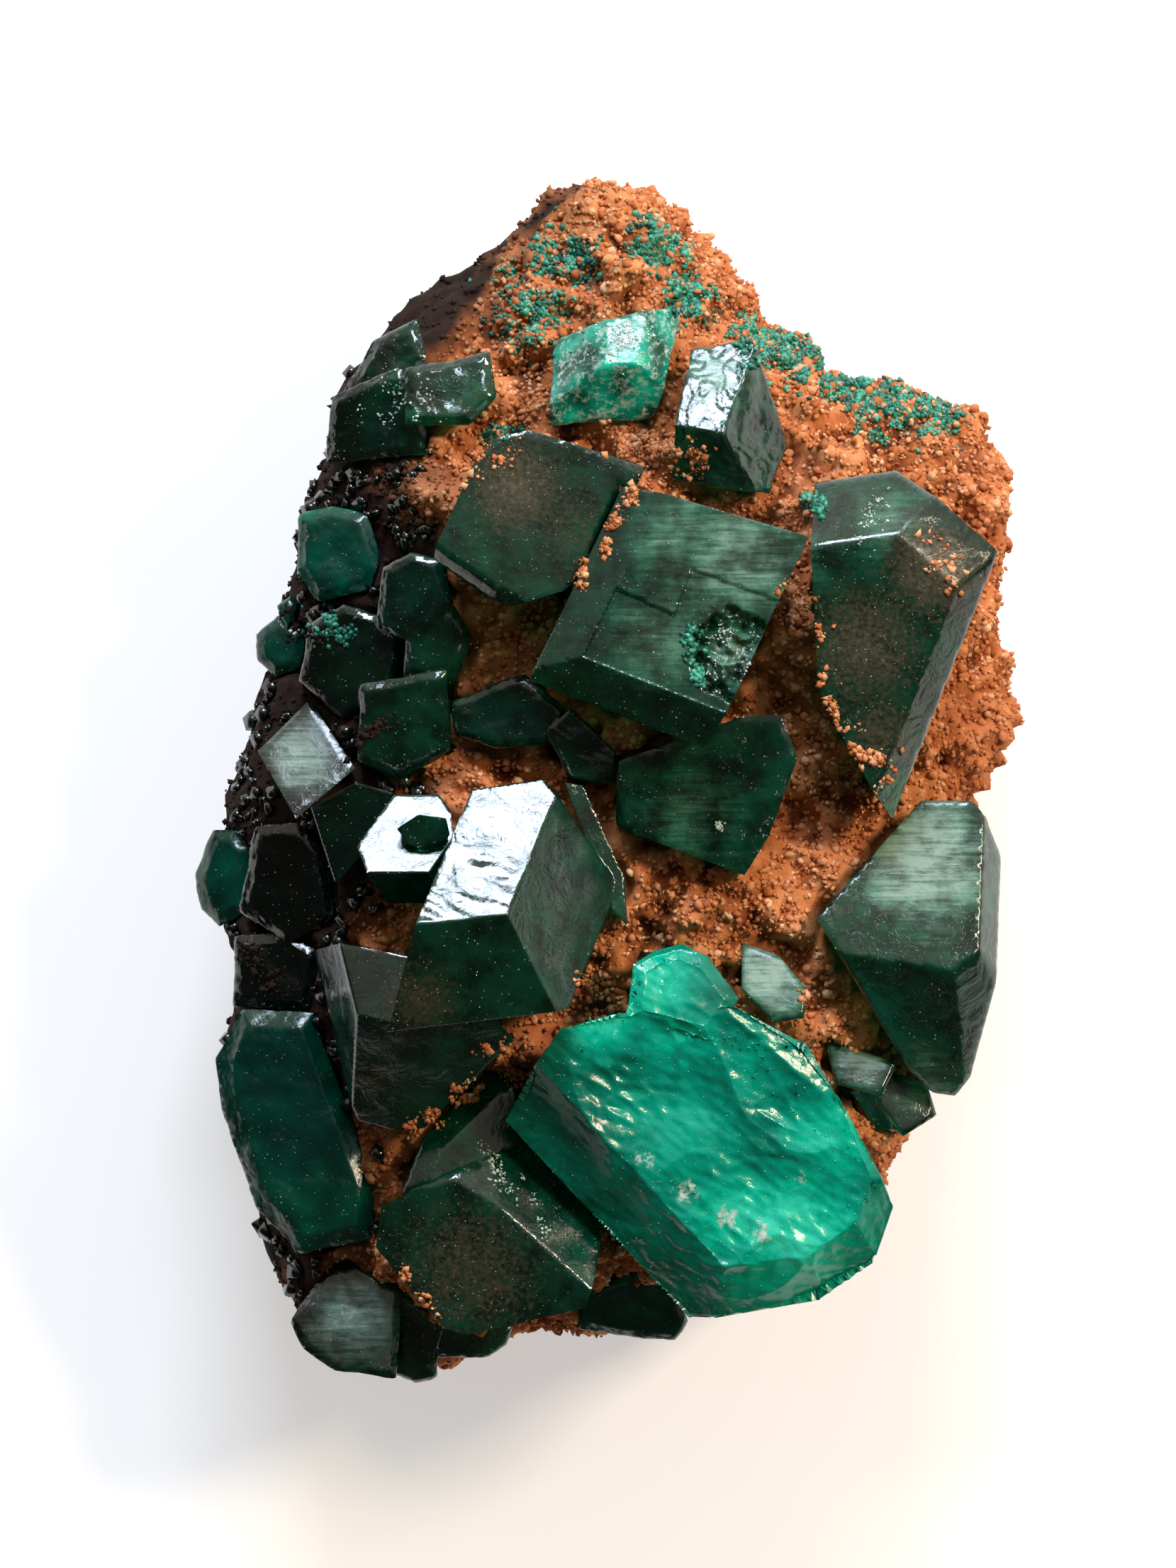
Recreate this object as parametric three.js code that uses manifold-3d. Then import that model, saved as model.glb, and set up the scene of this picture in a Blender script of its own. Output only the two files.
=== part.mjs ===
import * as THREE from 'three';
import { ConvexGeometry } from 'three/addons/geometries/ConvexGeometry.js';
import { ImprovedNoise } from 'three/addons/math/ImprovedNoise.js';
import { mergeVertices } from 'three/addons/utils/BufferGeometryUtils.js';
import Module from 'manifold-3d';

const wasm = await Module();
wasm.setup();

// A dioptase specimen lying on its back, in millimetres.
// X runs to its right, Y to its pointed end and Z out of the crystal side.

// Rock
const ROCK_MIDDLE = [0.4, 0.1];
const ROCK_SEGMENTS = 96;
const ROCK_SIDE_ROWS = 5;
const ROCK_TOP_ROWS = 17;
const RIM_FINENESS = 1.3;
const BASE_SHARE = 0.74;
const RIM_HEIGHT = 6.2;
const RIM_SWELL = 0.3;
const ROCK_TOP = 12;
const DOME_FULLNESS = 2.4;
const DOME_ROUNDNESS = 0.45;
const LEFT_FALL = 0.12;
const LEFT_FALL_FROM = -3;
const LUMP_SIZE = 2.6;
const LUMP_HEIGHT = 0.55;
const PIT_SIZE = 1.2;
const PIT_DEPTH = 0.35;
const SMOOTH_MIDDLE = 0.25;

// Crystals
const SOCKET_GAP = 0.1;
const CRYSTAL_DEPTH = 6;
const SOCKET_HEADROOM = 1;
const UNDERCUT = 8;
const SHOULDER_SLOPE = 0.7;
const SAME_POINT = 1e-4;

// The widest outline of the rock, seen from the crystal side.
const ROCK_OUTLINE = [
  [0.44, 17.8], [-0.6, 17.5], [-1.8, 17.0], [-2.9, 16.1], [-4.1, 15.1], [-5.3, 14.55],
  [-6.9, 12.55], [-7.95, 11.5], [-8.3, 10.05], [-8.65, 8.39], [-9.0, 6.73], [-9.7, 4.66],
  [-10.0, 3.0], [-10.6, 0.92], [-11.1, -1.15], [-11.43, -3.43], [-10.91, -5.72], [-11.2, -7.79],
  [-10.9, -10.28], [-10.2, -12.77], [-9.4, -15.26], [-8.0, -17.0], [-5.21, -17.2],
  [-2.72, -16.4], [0.0, -16.2], [3.09, -15.4], [6.2, -14.4], [7.8, -12.9], [8.28, -11.3],
  [9.4, -9.7], [10.4, -7.6], [10.7, -4.06], [10.8, -1.98], [11.0, -0.22], [11.75, 1.65],
  [11.9, 3.0], [11.65, 4.45], [11.85, 8.18], [11.5, 10.0], [10.4, 11.1], [9.32, 11.6],
  [7.24, 11.85], [6.0, 12.4], [4.55, 13.6], [4.05, 14.6], [3.05, 15.9], [2.05, 16.8],
  [1.2, 17.5],
];

// Rises in the rock: place, height and radius.
const ROCK_RISES = [
  { at: [0.6, 16.1], rise: 2.2, radius: 2.2 },
  { at: [7.2, 11.3], rise: 1.2, radius: 1.6 },
  { at: [11.4, 8.8], rise: 1.0, radius: 1.5 },
  { at: [11.4, 2.2], rise: 1.0, radius: 1.3 },
  { at: [2.3, 9.6], rise: 1.5, radius: 1.5 },
  { at: [0.3, 7.0], rise: 1.8, radius: 1.0 },
  { at: [5.9, 4.6], rise: 2.2, radius: 0.9 },
  { at: [1.4, 1.2], rise: 1.0, radius: 1.2 },
  { at: [3.3, -3.4], rise: 0.8, radius: 1.5 },
  { at: [-5.2, 8.6], rise: 1.0, radius: 1.2 },
];

// Each crystal is its front face in plan, anticlockwise, at the height of the face's middle.
// The face leans so many degrees from level, toward a bearing counted from X to Y.
// A corner may carry the run and the slope of the facet along the edge that starts there.
// A cut is a line in plan, from one point to another, that ends the crystal on its right.
const CRYSTALS = {
  centre_crystal: [
    {
      front: [[1.7, 8.37, 1.15, 0.75], [-0.6, 3.62, 1.2, 0.8], [3.55, 2.0], [5.93, 7.11]],
      height: 16, lean: 5, toward: 90,
    },
  ],
  dusty_crystal: [
    {
      front: [
        [-2.18, 10.26], [-3.13, 10.01], [-3.78, 9.33], [-4.9, 6.84, 0.35, 1.2],
        [-3.22, 5.67, 0.35, 1.2], [-2.26, 5.2], [-1.06, 5.59], [0.37, 7.46],
        [1.12, 8.91, 0.4, 0.6], [-1.06, 9.91],
      ],
      height: 14.8, lean: 5, toward: 45,
    },
  ],
  right_crystal: [
    {
      front: [
        [6.0, 6.84], [6.2, 2.79], [6.51, 2.06], [7.86, -0.36, 0.8, 1.1],
        [10.25, 5.7, 1.6, 0.5], [8.53, 7.21, 1.9, 0.9],
      ],
      height: 14.5, lean: 4, toward: 250,
    },
  ],
  lower_crystal: [
    {
      front: [
        [0.39, 0.61], [0.35, -0.11, 0.3, 1.2], [0.71, -1.46], [4.13, -2.75],
        [4.85, -1.57], [5.68, 0.72], [5.17, 1.96], [4.13, 1.96],
      ],
      height: 13.6, lean: 5, toward: 270,
    },
  ],
  mirror_cluster: [
    {
      front: [
        [-3.86, -0.22], [-5.46, -4.14, 3.0, 0.47], [-2.82, -3.83, 2.7, 1.0],
        [-1.37, -0.36], [-1.78, 0.09],
      ],
      height: 15.5, lean: 28, toward: 95,
    },
    {
      front: [[-1.16, 0.0], [0.23, -3.74], [0.71, -4.26], [0.6, -2.81], [-0.6, -0.11]],
      height: 13.2, lean: 12, toward: 20,
    },
    {
      front: [
        [-6.14, -0.36], [-7.22, -1.88], [-6.91, -2.65, 0.9, 1.0], [-5.1, -2.65, 0.5, 1.2],
        [-4.38, -1.57], [-4.48, -0.84], [-4.83, -0.36],
      ],
      height: 13.8, lean: 29, toward: 92,
    },
    {
      front: [
        [-6.04, -1.36], [-5.73, -1.82], [-5.21, -1.98], [-4.48, -1.57],
        [-4.59, -1.05], [-5.41, -0.94],
      ],
      height: 14.4, lean: 12, toward: 270, depth: 2,
    },
    {
      front: [[-8.63, -0.74], [-7.9, -3.02], [-6.9, -1.9], [-6.14, -0.32], [-7.28, 0.0]],
      height: 12.3, lean: 20, toward: 200, depth: 4,
    },
    {
      front: [
        [-7.7, -4.68, 0.9, 3.4], [-7.18, -6.75, 3.1, 0.9], [-5.83, -7.11, 3.1, 0.9],
        [-3.13, -6.9], [-3.96, -6.13], [-5.62, -5.09],
      ],
      cuts: [[[-5.41, -10.32], [-2.61, -7.52]]],
      height: 14.6, lean: 12, toward: 90,
    },
  ],
  fractured_crystal: [
    {
      front: [
        [-1.27, -7.17], [-2.05, -8.21, 1.8, 0.8], [3.51, -14.22, 1.5, 0.8],
        [6.0, -13.9, 1.3, 0.8], [7.4, -12.9, 0.9, 1.0], [7.85, -11.6, 0.5, 1.0], [6.83, -9.14],
        [6.0, -7.69], [3.92, -6.55], [0.19, -6.75],
      ],
      cuts: [[[2.78, -15.84], [5.17, -15.43]]],
      height: 13.6, lean: 6, toward: 300, undercut: 14,
    },
    {
      front: [
        [0.81, -5.3], [0.6, -6.96], [3.09, -7.58], [4.02, -6.34],
        [3.09, -5.09], [2.26, -4.68], [1.43, -4.89],
      ],
      height: 13.9, lean: 12, toward: 60, shoulder: 0.4,
    },
  ],
  bottom_crystal: [
    {
      front: [
        [-6.56, -12.46], [-6.72, -13.7], [-4.69, -16.09], [-4.07, -16.3], [-0.54, -15.47],
        [-0.33, -14.95, 2.6, 0.75], [-3.13, -12.42, 3.6, 0.6], [-4.38, -11.67, 2.0, 0.7],
        [-5.73, -12.0],
      ],
      height: 12.3, lean: 10, toward: 235, undercut: 14,
    },
    {
      front: [
        [-6.04, -12.15], [-0.33, -14.43], [0.3, -12.36], [-1.06, -10.28], [-2.41, -8.3],
        [-3.34, -8.41], [-5.41, -10.49],
      ],
      height: 11.3, lean: 12, toward: 40, depth: 4, shoulder: 0.7, undercut: 4,
    },
  ],
  right_edge_cluster: [
    {
      front: [
        [5.48, -4.82, 3.7, 0.8], [10.25, -5.55, 4.4, 1.0], [10.98, -4.99, 0.62, 2.0],
        [11.18, -0.94], [10.87, -0.53], [9.32, -0.53],
      ],
      cuts: [
        [[6.2, -5.82], [9.11, -8.62]],
        [[9.0, -8.52], [9.83, -9.87]],
        [[10.04, -9.76], [11.43, -8.0]],
      ],
      height: 12.4, lean: 16, toward: 90, undercut: 14,
    },
  ],
  right_small_cluster: [
    {
      front: [[6.51, -7.58], [6.83, -8.93], [8.2, -9.3], [8.7, -8.3]],
      height: 10.6, lean: 20, toward: 100, depth: 4, shoulder: 0.12, undercut: 2,
    },
    {
      front: [[7.1, -9.1], [8.07, -10.45], [8.95, -10.35], [8.4, -8.9]],
      height: 9.4, lean: 10, toward: 260, depth: 3, shoulder: 0.12, undercut: 2,
    },
    {
      front: [[8.2, -8.55], [8.0, -9.45], [8.85, -10.55], [9.9, -9.9], [9.6, -8.9]],
      height: 9.5, lean: 15, toward: 60, depth: 3, shoulder: 0.12, undercut: 2,
    },
  ],
  small_grey_crystal: [
    {
      front: [
        [4.02, -4.68], [4.02, -6.13], [4.96, -7.06], [5.89, -6.96], [6.0, -6.13], [5.17, -5.09],
      ],
      height: 12.4, lean: 18, toward: 100, depth: 4, shoulder: 0.12,
    },
  ],
  upper_crystal: [
    {
      front: [
        [2.57, 12.65], [2.05, 10.4, 1.5, 0.9], [3.46, 10.16, 1.9, 1.1], [4.46, 12.79],
        [4.34, 13.06],
      ],
      height: 12.8, lean: 27, toward: 95,
    },
  ],
  upper_pale_crystal: [
    {
      front: [
        [0.08, 13.58, 1.5, 0.9], [-0.02, 12.17, 1.6, 0.7], [1.02, 12.23, 0.9, 0.8],
        [1.33, 13.89],
      ],
      height: 12.6, lean: 27, toward: 95,
    },
  ],
  upper_left_cluster: [
    {
      front: [[-6.87, 13.16], [-7.9, 11.4], [-6.04, 11.1], [-5.21, 12.54], [-5.52, 13.79]],
      height: 9.6, lean: 25, toward: 160, depth: 4, shoulder: 0.3, undercut: 14,
    },
    {
      front: [[-8.11, 11.5], [-8.32, 9.43], [-5.21, 9.64], [-5.21, 11.3], [-6.04, 12.33]],
      height: 10.2, lean: 22, toward: 190, depth: 4, shoulder: 0.3, undercut: 14,
    },
    {
      front: [
        [-5.9, 12.3], [-5.9, 10.47], [-3.96, 10.47], [-3.13, 11.3], [-3.34, 12.75],
      ],
      height: 11.4, lean: 18, toward: 120, depth: 4, shoulder: 0.3, undercut: 14,
    },
  ],
  left_green_crystal: [
    {
      front: [
        [-9.15, 7.98], [-9.21, 6.32], [-8.53, 5.28], [-6.87, 5.7], [-6.56, 6.73],
        [-6.97, 7.98], [-8.11, 8.29],
      ],
      height: 9.6, lean: 20, toward: 170, depth: 4, shoulder: 0.35, undercut: 14,
    },
  ],
  left_round_crystal: [
    {
      front: [
        [-10.5, 4.45], [-10.39, 3.62], [-9.88, 3.1], [-9.0, 3.4], [-8.8, 4.55], [-9.7, 5.07],
      ],
      height: 7.6, lean: 20, toward: 180, depth: 2.5, shoulder: 0.35,
    },
    {
      front: [[-9.81, 5.28], [-9.46, 4.5], [-9.11, 5.28], [-9.36, 5.65]],
      height: 7.8, lean: 15, toward: 150, depth: 2.5, shoulder: 0.15,
    },
  ],
  left_lower_cluster: [
    {
      front: [
        [-10.44, -1.26], [-10.91, -3.85], [-9.46, -4.9], [-7.9, -4.06], [-8.22, -1.98],
        [-8.94, -1.15],
      ],
      height: 9.4, lean: 20, toward: 200, depth: 4, shoulder: 0.35, undercut: 14,
    },
    {
      front: [
        [-11.06, -4.57], [-11.12, -6.75], [-8.73, -6.86], [-8.36, -4.99], [-9.36, -4.37],
      ],
      height: 8.8, lean: 18, toward: 185, depth: 4, shoulder: 0.35, undercut: 14,
    },
  ],
  left_edge_crystal: [
    {
      front: [
        [-11.74, -1.4], [-12.3, -2.71], [-12.1, -3.85], [-11.54, -4.43], [-10.6, -3.85],
        [-10.5, -1.98], [-11.0, -1.36],
      ],
      height: 7.4, lean: 25, toward: 190, depth: 2.5, shoulder: 0.4,
    },
  ],
  left_grey_crystal: [
    {
      front: [[-8.73, 2.48], [-10.29, 0.92], [-9.09, -1.11], [-7.32, 0.4]],
      height: 10.2, lean: 27, toward: 110, depth: 4, undercut: 14,
    },
  ],
  left_dark_cluster: [
    {
      front: [
        [-8.73, 4.66], [-9.05, 3.0], [-7.7, 1.86], [-6.2, 2.8], [-5.9, 4.66], [-7.7, 5.28],
      ],
      height: 10.6, lean: 20, toward: 200, depth: 4, shoulder: 0.25, undercut: 2,
    },
    {
      front: [[-7.2, 2.9], [-7.28, 0.61], [-6.04, 0.0], [-4.48, 0.92], [-4.6, 3.3]],
      height: 11.9, lean: 14, toward: 230, depth: 4, shoulder: 0.25, undercut: 2,
    },
    {
      front: [
        [-6.5, 6.32], [-6.75, 4.5], [-5.41, 4.0], [-4.38, 5.28], [-4.79, 6.52], [-5.62, 6.73],
      ],
      height: 12.4, lean: 15, toward: 200, depth: 4, shoulder: 0.25, undercut: 2,
    },
    {
      front: [[-5.8, 4.8], [-5.95, 3.1], [-4.38, 2.8], [-3.86, 4.24], [-4.38, 5.2]],
      height: 12.2, lean: 12, toward: 250, depth: 4, shoulder: 0.25, undercut: 2,
    },
  ],
  middle_cluster: [
    {
      front: [
        [-4.59, 2.38], [-4.38, 1.34], [-3.13, 0.92], [-1.27, 1.13], [-1.06, 2.17], [-2.3, 3.21],
      ],
      height: 12.6, lean: 14, toward: 200, depth: 4, shoulder: 0.25,
    },
    {
      front: [[-1.68, 1.55], [-1.06, 0.09], [0.39, -0.11], [0.39, 0.92], [-0.95, 2.17]],
      height: 13, lean: 8, toward: 270, depth: 4, shoulder: 0.1,
    },
  ],
  lower_left_mass: [
    {
      front: [
        [-10.81, -6.65], [-11.64, -8.21], [-11.43, -9.87], [-10.39, -12.77], [-9.05, -14.12],
        [-6.76, -13.64], [-6.66, -11.94], [-8.53, -6.75],
      ],
      height: 9.6, lean: 14, toward: 195, depth: 4, shoulder: 0.6, undercut: 16,
    },
  ],
  foot_cluster: [
    {
      front: [
        [-8.32, -14.43], [-9.36, -16.09], [-8.98, -16.88], [-8.07, -17.54], [-6.1, -17.79],
        [-5.94, -15.05], [-7.39, -14.22],
      ],
      height: 8.8, lean: 16, toward: 120, depth: 4, shoulder: 0.25, undercut: 14,
    },
    {
      front: [
        [-6.2, -15.05], [-6.3, -17.7], [-5.62, -18.0], [-4.96, -17.79], [-4.75, -15.88],
      ],
      height: 8.4, lean: 10, toward: 250, depth: 4, shoulder: 0.2, undercut: 10,
    },
    {
      front: [[-5.0, -16.2], [-5.2, -17.2], [-3.4, -17.2], [-2.9, -16.8], [-2.65, -16.2]],
      height: 8.2, lean: 10, toward: 260, depth: 4, shoulder: 0.15, undercut: 10,
    },
  ],
  bottom_green_crystal: [
    {
      front: [
        [-0.85, -16.4], [2.16, -16.71], [2.57, -16.09], [2.26, -14.84], [1.02, -14.43],
        [-0.64, -15.05],
      ],
      height: 8.4, lean: 10, toward: 270, depth: 3.5, shoulder: 0.3, undercut: 12,
    },
  ],
};

const dioptase = new THREE.MeshStandardMaterial({ color: '#0f5c43', roughness: 0.15 });
const fracturedDioptase = new THREE.MeshStandardMaterial({ color: '#0a9a72', roughness: 0.2 });
const rustyRock = new THREE.MeshStandardMaterial({ color: '#a9663a', roughness: 0.95 });

// A closed geometry as a solid that can be joined and cut.
function solidOf(geometry) {
  const bare = new THREE.BufferGeometry();
  bare.setAttribute('position', geometry.getAttribute('position'));
  bare.setIndex(geometry.index);
  const merged = mergeVertices(bare, SAME_POINT);
  return new wasm.Manifold(
    new wasm.Mesh({
      numProp: 3,
      vertProperties: merged.attributes.position.array,
      triVerts: new Uint32Array(merged.index.array),
    }),
  );
}

// The front face of a crystal: which way it looks, and its corners in space.
function frontOf({ front, height, lean, toward }) {
  const tilt = THREE.MathUtils.degToRad(lean);
  const bearing = THREE.MathUtils.degToRad(toward);
  const normal = new THREE.Vector3(
    Math.sin(tilt) * Math.cos(bearing),
    Math.sin(tilt) * Math.sin(bearing),
    Math.cos(tilt),
  );
  const middleX = front.reduce((sum, corner) => sum + corner[0], 0) / front.length;
  const middleY = front.reduce((sum, corner) => sum + corner[1], 0) / front.length;
  const corners = front.map(([x, y]) => {
    const fall = (normal.x * (x - middleX) + normal.y * (y - middleY)) / normal.z;
    return new THREE.Vector3(x, y, height - fall);
  });
  return { normal, corners };
}

function face(normal, point, grow) {
  const plane = new THREE.Plane();
  plane.setFromNormalAndCoplanarPoint(normal.clone().normalize(), point);
  plane.constant -= grow;
  return plane;
}

// The edges of the front face: where each starts, how it runs and which way is outward.
function edgesOf(crystal) {
  const { normal, corners } = frontOf(crystal);
  return corners.map((corner, i) => {
    const along = corners[(i + 1) % corners.length].clone().sub(corner);
    const outward = new THREE.Vector3(along.y, -along.x, 0).normalize();
    const rising = -normal.dot(outward) / normal.z;
    const [, , run = 0, slope = 0] = crystal.front[i];
    return { corner, along, outward, rising, run, slope };
  });
}

// The sides of a crystal, drawn in a little toward its root, and its foot.
function sidesOf(crystal, grow) {
  const { depth = CRYSTAL_DEPTH, undercut = UNDERCUT } = crystal;
  const edges = edgesOf(crystal);
  const sides = edges.map(({ corner, along, outward, run, slope }) => {
    const point = corner.clone().addScaledVector(outward, run);
    point.z -= run * slope;
    const inward = outward.clone().multiplyScalar(-Math.tan(THREE.MathUtils.degToRad(undercut)));
    inward.z = -1;
    return face(inward.cross(along), point, grow);
  });
  const cuts = (crystal.cuts ?? []).map(([[fromX, fromY], [toX, toY]]) => {
    const outward = new THREE.Vector3(toY - fromY, fromX - toX, 0);
    return face(outward, new THREE.Vector3(fromX, fromY, 0), grow);
  });
  const lowest = Math.min(...edges.map(({ corner }) => corner.z));
  const foot = new THREE.Vector3(0, 0, lowest - depth);
  return [...sides, ...cuts, face(new THREE.Vector3(0, 0, -1), foot, grow)];
}

// The front face, the sloping facets along its edges and the shoulders of the plain edges.
function facetsOf(crystal, grow) {
  const { normal, corners } = frontOf(crystal);
  const { shoulder = 0 } = crystal;
  const facets = [face(normal, corners[0], grow)];
  edgesOf(crystal).forEach(({ corner, along, outward, rising, run, slope }) => {
    const falling = outward.clone();
    if (run > 0) {
      falling.z = -slope;
      facets.push(face(falling.cross(along), corner, grow));
    } else if (shoulder > 0) {
      const start = corner.clone().addScaledVector(outward, -shoulder);
      start.z -= rising * shoulder;
      falling.z = rising - SHOULDER_SLOPE;
      facets.push(face(falling.cross(along), start, grow));
    }
  });
  return facets;
}

// The point where three planes meet, if they do.
function meeting(a, b, c) {
  const bc = b.normal.clone().cross(c.normal);
  const ca = c.normal.clone().cross(a.normal);
  const ab = a.normal.clone().cross(b.normal);
  const volume = a.normal.dot(bc);
  if (Math.abs(volume) < SAME_POINT) {
    return null;
  }
  return bc
    .multiplyScalar(-a.constant)
    .addScaledVector(ca, -b.constant)
    .addScaledVector(ab, -c.constant)
    .divideScalar(volume);
}

// The solid that lies behind every one of a set of planes.
function behind(planes) {
  const points = [];
  planes.forEach((a, i) => {
    planes.slice(i + 1).forEach((b, j) => {
      planes.slice(i + j + 2).forEach((c) => {
        const point = meeting(a, b, c);
        const inside = point && planes.every((p) => p.distanceToPoint(point) < SAME_POINT);
        if (inside && points.every((other) => other.distanceTo(point) > SAME_POINT * 10)) {
          points.push(point);
        }
      });
    });
  });
  return solidOf(new ConvexGeometry(points));
}

const crystalSolid = (crystal, grow) =>
  behind([...facetsOf(crystal, grow), ...sidesOf(crystal, grow)]);

// The hole that a crystal leaves in the rock, open to the crystal side.
function socketSolid(crystal) {
  const highest = Math.max(...frontOf(crystal).corners.map((corner) => corner.z));
  const above = new THREE.Vector3(0, 0, highest + SOCKET_HEADROOM);
  const top = face(new THREE.Vector3(0, 0, 1), above, 0);
  return behind([top, ...sidesOf(crystal, SOCKET_GAP)]);
}

// How far the rock stands out at a place: broad lumps and smaller pits.
function roughness(x, y, z) {
  const noise = new ImprovedNoise();
  const lumps = noise.noise(x / LUMP_SIZE, y / LUMP_SIZE, z / LUMP_SIZE);
  const pits = noise.noise(x / PIT_SIZE, y / PIT_SIZE, z / PIT_SIZE);
  return LUMP_HEIGHT * lumps - PIT_DEPTH * Math.abs(pits);
}

function risesAt(x, y) {
  return ROCK_RISES.reduce((sum, { at, rise, radius }) => {
    const distance = Math.hypot(x - at[0], y - at[1]) / radius;
    return sum + rise * Math.exp(-distance * distance);
  }, 0);
}

// The rows of the rock from the flat base over the rim to the top: share of the outline, and height.
function rockRows() {
  const rows = [];
  for (let i = 0; i <= ROCK_SIDE_ROWS; i += 1) {
    const climb = i / ROCK_SIDE_ROWS;
    rows.push({ share: BASE_SHARE + (1 - BASE_SHARE) * Math.sin((climb * Math.PI) / 2), climb });
  }
  for (let i = 1; i < ROCK_TOP_ROWS; i += 1) {
    const share = 1 - (i / ROCK_TOP_ROWS) ** RIM_FINENESS;
    rows.push({ share, dome: (1 - share ** DOME_FULLNESS) ** DOME_ROUNDNESS });
  }
  return rows;
}

function rockSolid() {
  const [middleX, middleY] = ROCK_MIDDLE;
  const curve = new THREE.CatmullRomCurve3(
    ROCK_OUTLINE.map(([x, y]) => new THREE.Vector3(x - middleX, y - middleY, 0)),
    true,
  );
  const ring = curve.getSpacedPoints(ROCK_SEGMENTS).slice(0, ROCK_SEGMENTS);
  const positions = [middleX, middleY, 0];
  const rows = rockRows();
  const domeHeight = (x, y, dome) => {
    const leftward = Math.max(0, LEFT_FALL_FROM - x);
    const full = ROCK_TOP - RIM_HEIGHT - LEFT_FALL * leftward;
    return RIM_HEIGHT + full * dome + risesAt(x, y) * dome;
  };
  rows.forEach(({ share, climb = 1, dome = 0 }) => {
    ring.forEach((reach) => {
      const x = middleX + reach.x * share;
      const y = middleY + reach.y * share;
      const z = climb < 1 ? RIM_HEIGHT * climb : domeHeight(x, y, dome);
      const fade = climb === 0 ? 0 : Math.min(1, share / SMOOTH_MIDDLE);
      const rough = fade * roughness(x, y, z);
      const outward = (1 - dome) * (rough + RIM_SWELL);
      const away = reach.clone().normalize();
      positions.push(x + away.x * outward, y + away.y * outward, z + dome * rough);
    });
  });
  positions.push(middleX, middleY, domeHeight(middleX, middleY, 1));

  const index = [];
  const last = positions.length / 3 - 1;
  const at = (row, i) => 1 + row * ROCK_SEGMENTS + (i % ROCK_SEGMENTS);
  for (let i = 0; i < ROCK_SEGMENTS; i += 1) {
    index.push(0, at(0, i + 1), at(0, i));
    for (let row = 0; row + 1 < rows.length; row += 1) {
      index.push(at(row, i), at(row, i + 1), at(row + 1, i + 1));
      index.push(at(row, i), at(row + 1, i + 1), at(row + 1, i));
    }
    index.push(at(rows.length - 1, i), at(rows.length - 1, i + 1), last);
  }
  const geometry = new THREE.BufferGeometry();
  geometry.setAttribute('position', new THREE.Float32BufferAttribute(positions, 3));
  geometry.setIndex(index);
  return solidOf(geometry);
}

function meshOf(name, solid, material) {
  const { vertProperties, triVerts } = solid.getMesh();
  const geometry = new THREE.BufferGeometry();
  geometry.setAttribute('position', new THREE.BufferAttribute(vertProperties, 3));
  geometry.setIndex(new THREE.BufferAttribute(triVerts, 1));
  const mesh = new THREE.Mesh(geometry, material);
  mesh.name = name;
  return mesh;
}

// Crystals that overlap are one solid; a later piece makes room for those before it.
const specimen = new THREE.Group();
const joined = (solids) => solids.reduce((whole, solid) => whole.add(solid));
let rock = rockSolid();
let before = null;
Object.entries(CRYSTALS).forEach(([name, crystals]) => {
  let solid = joined(crystals.map((crystal) => crystalSolid(crystal, 0)));
  if (before) {
    solid = solid.subtract(before);
  }
  const grown = joined(crystals.map((crystal) => crystalSolid(crystal, SOCKET_GAP)));
  before = before ? before.add(grown) : grown;
  crystals.forEach((crystal) => {
    rock = rock.subtract(socketSolid(crystal));
  });
  specimen.add(meshOf(name, solid, name === 'fractured_crystal' ? fracturedDioptase : dioptase));
});
specimen.add(meshOf('matrix', rock, rustyRock));

// The middle of the underside is the origin.
const box = new THREE.Box3().setFromObject(specimen);
const middle = box.getCenter(new THREE.Vector3());
specimen.position.set(-middle.x, -middle.y, -box.min.z);

const part = new THREE.Group();
part.add(specimen);

export default part;
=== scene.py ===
# %% [markdown]
# A dioptase specimen, dressed around its solid model.
# Glassy deep-green crystals sit in a rusty, crumbly rock. The solid model gives every crystal its
# place, size and faces, so this lesson only adds what solids are poor at: worn edges, growth steps,
# broken glass, loose grains, and how light passes into the green.

# %% The frame
import math

import bmesh
import bpy
import numpy as np
from mathutils import Matrix, Vector, noise
from mathutils.bvhtree import BVHTree


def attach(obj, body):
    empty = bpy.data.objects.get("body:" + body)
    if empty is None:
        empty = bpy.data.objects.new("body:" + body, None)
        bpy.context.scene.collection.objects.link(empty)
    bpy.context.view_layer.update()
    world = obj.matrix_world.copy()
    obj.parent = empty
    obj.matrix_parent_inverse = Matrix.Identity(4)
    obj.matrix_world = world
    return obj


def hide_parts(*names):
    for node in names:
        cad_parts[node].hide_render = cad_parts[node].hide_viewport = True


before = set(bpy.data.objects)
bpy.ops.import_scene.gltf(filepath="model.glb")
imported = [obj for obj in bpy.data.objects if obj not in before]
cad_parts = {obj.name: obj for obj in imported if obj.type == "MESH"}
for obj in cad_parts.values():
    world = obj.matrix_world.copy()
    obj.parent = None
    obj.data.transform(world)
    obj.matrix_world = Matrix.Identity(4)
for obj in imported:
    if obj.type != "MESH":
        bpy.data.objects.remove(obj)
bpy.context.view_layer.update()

MM = 0.001
crystal_nodes = sorted(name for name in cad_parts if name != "matrix")
print(len(crystal_nodes), "crystal pieces and one rock")

# %% [markdown]
# The camera hangs straight over the specimen, which lies on its back. A long lens keeps the sides
# of the crystals from leaning outward, as in a close-up taken from some way off. The picture is
# 1659 by 2212 pixels, so the long side of the sensor is upright.

# %% Camera
PICTURE_HEIGHT = 45.9 * MM
VIEW_MIDDLE = (-0.446 * MM, -0.031 * MM)
FACE_HEIGHT = 13 * MM
LENS = 200
SENSOR = 36

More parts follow.
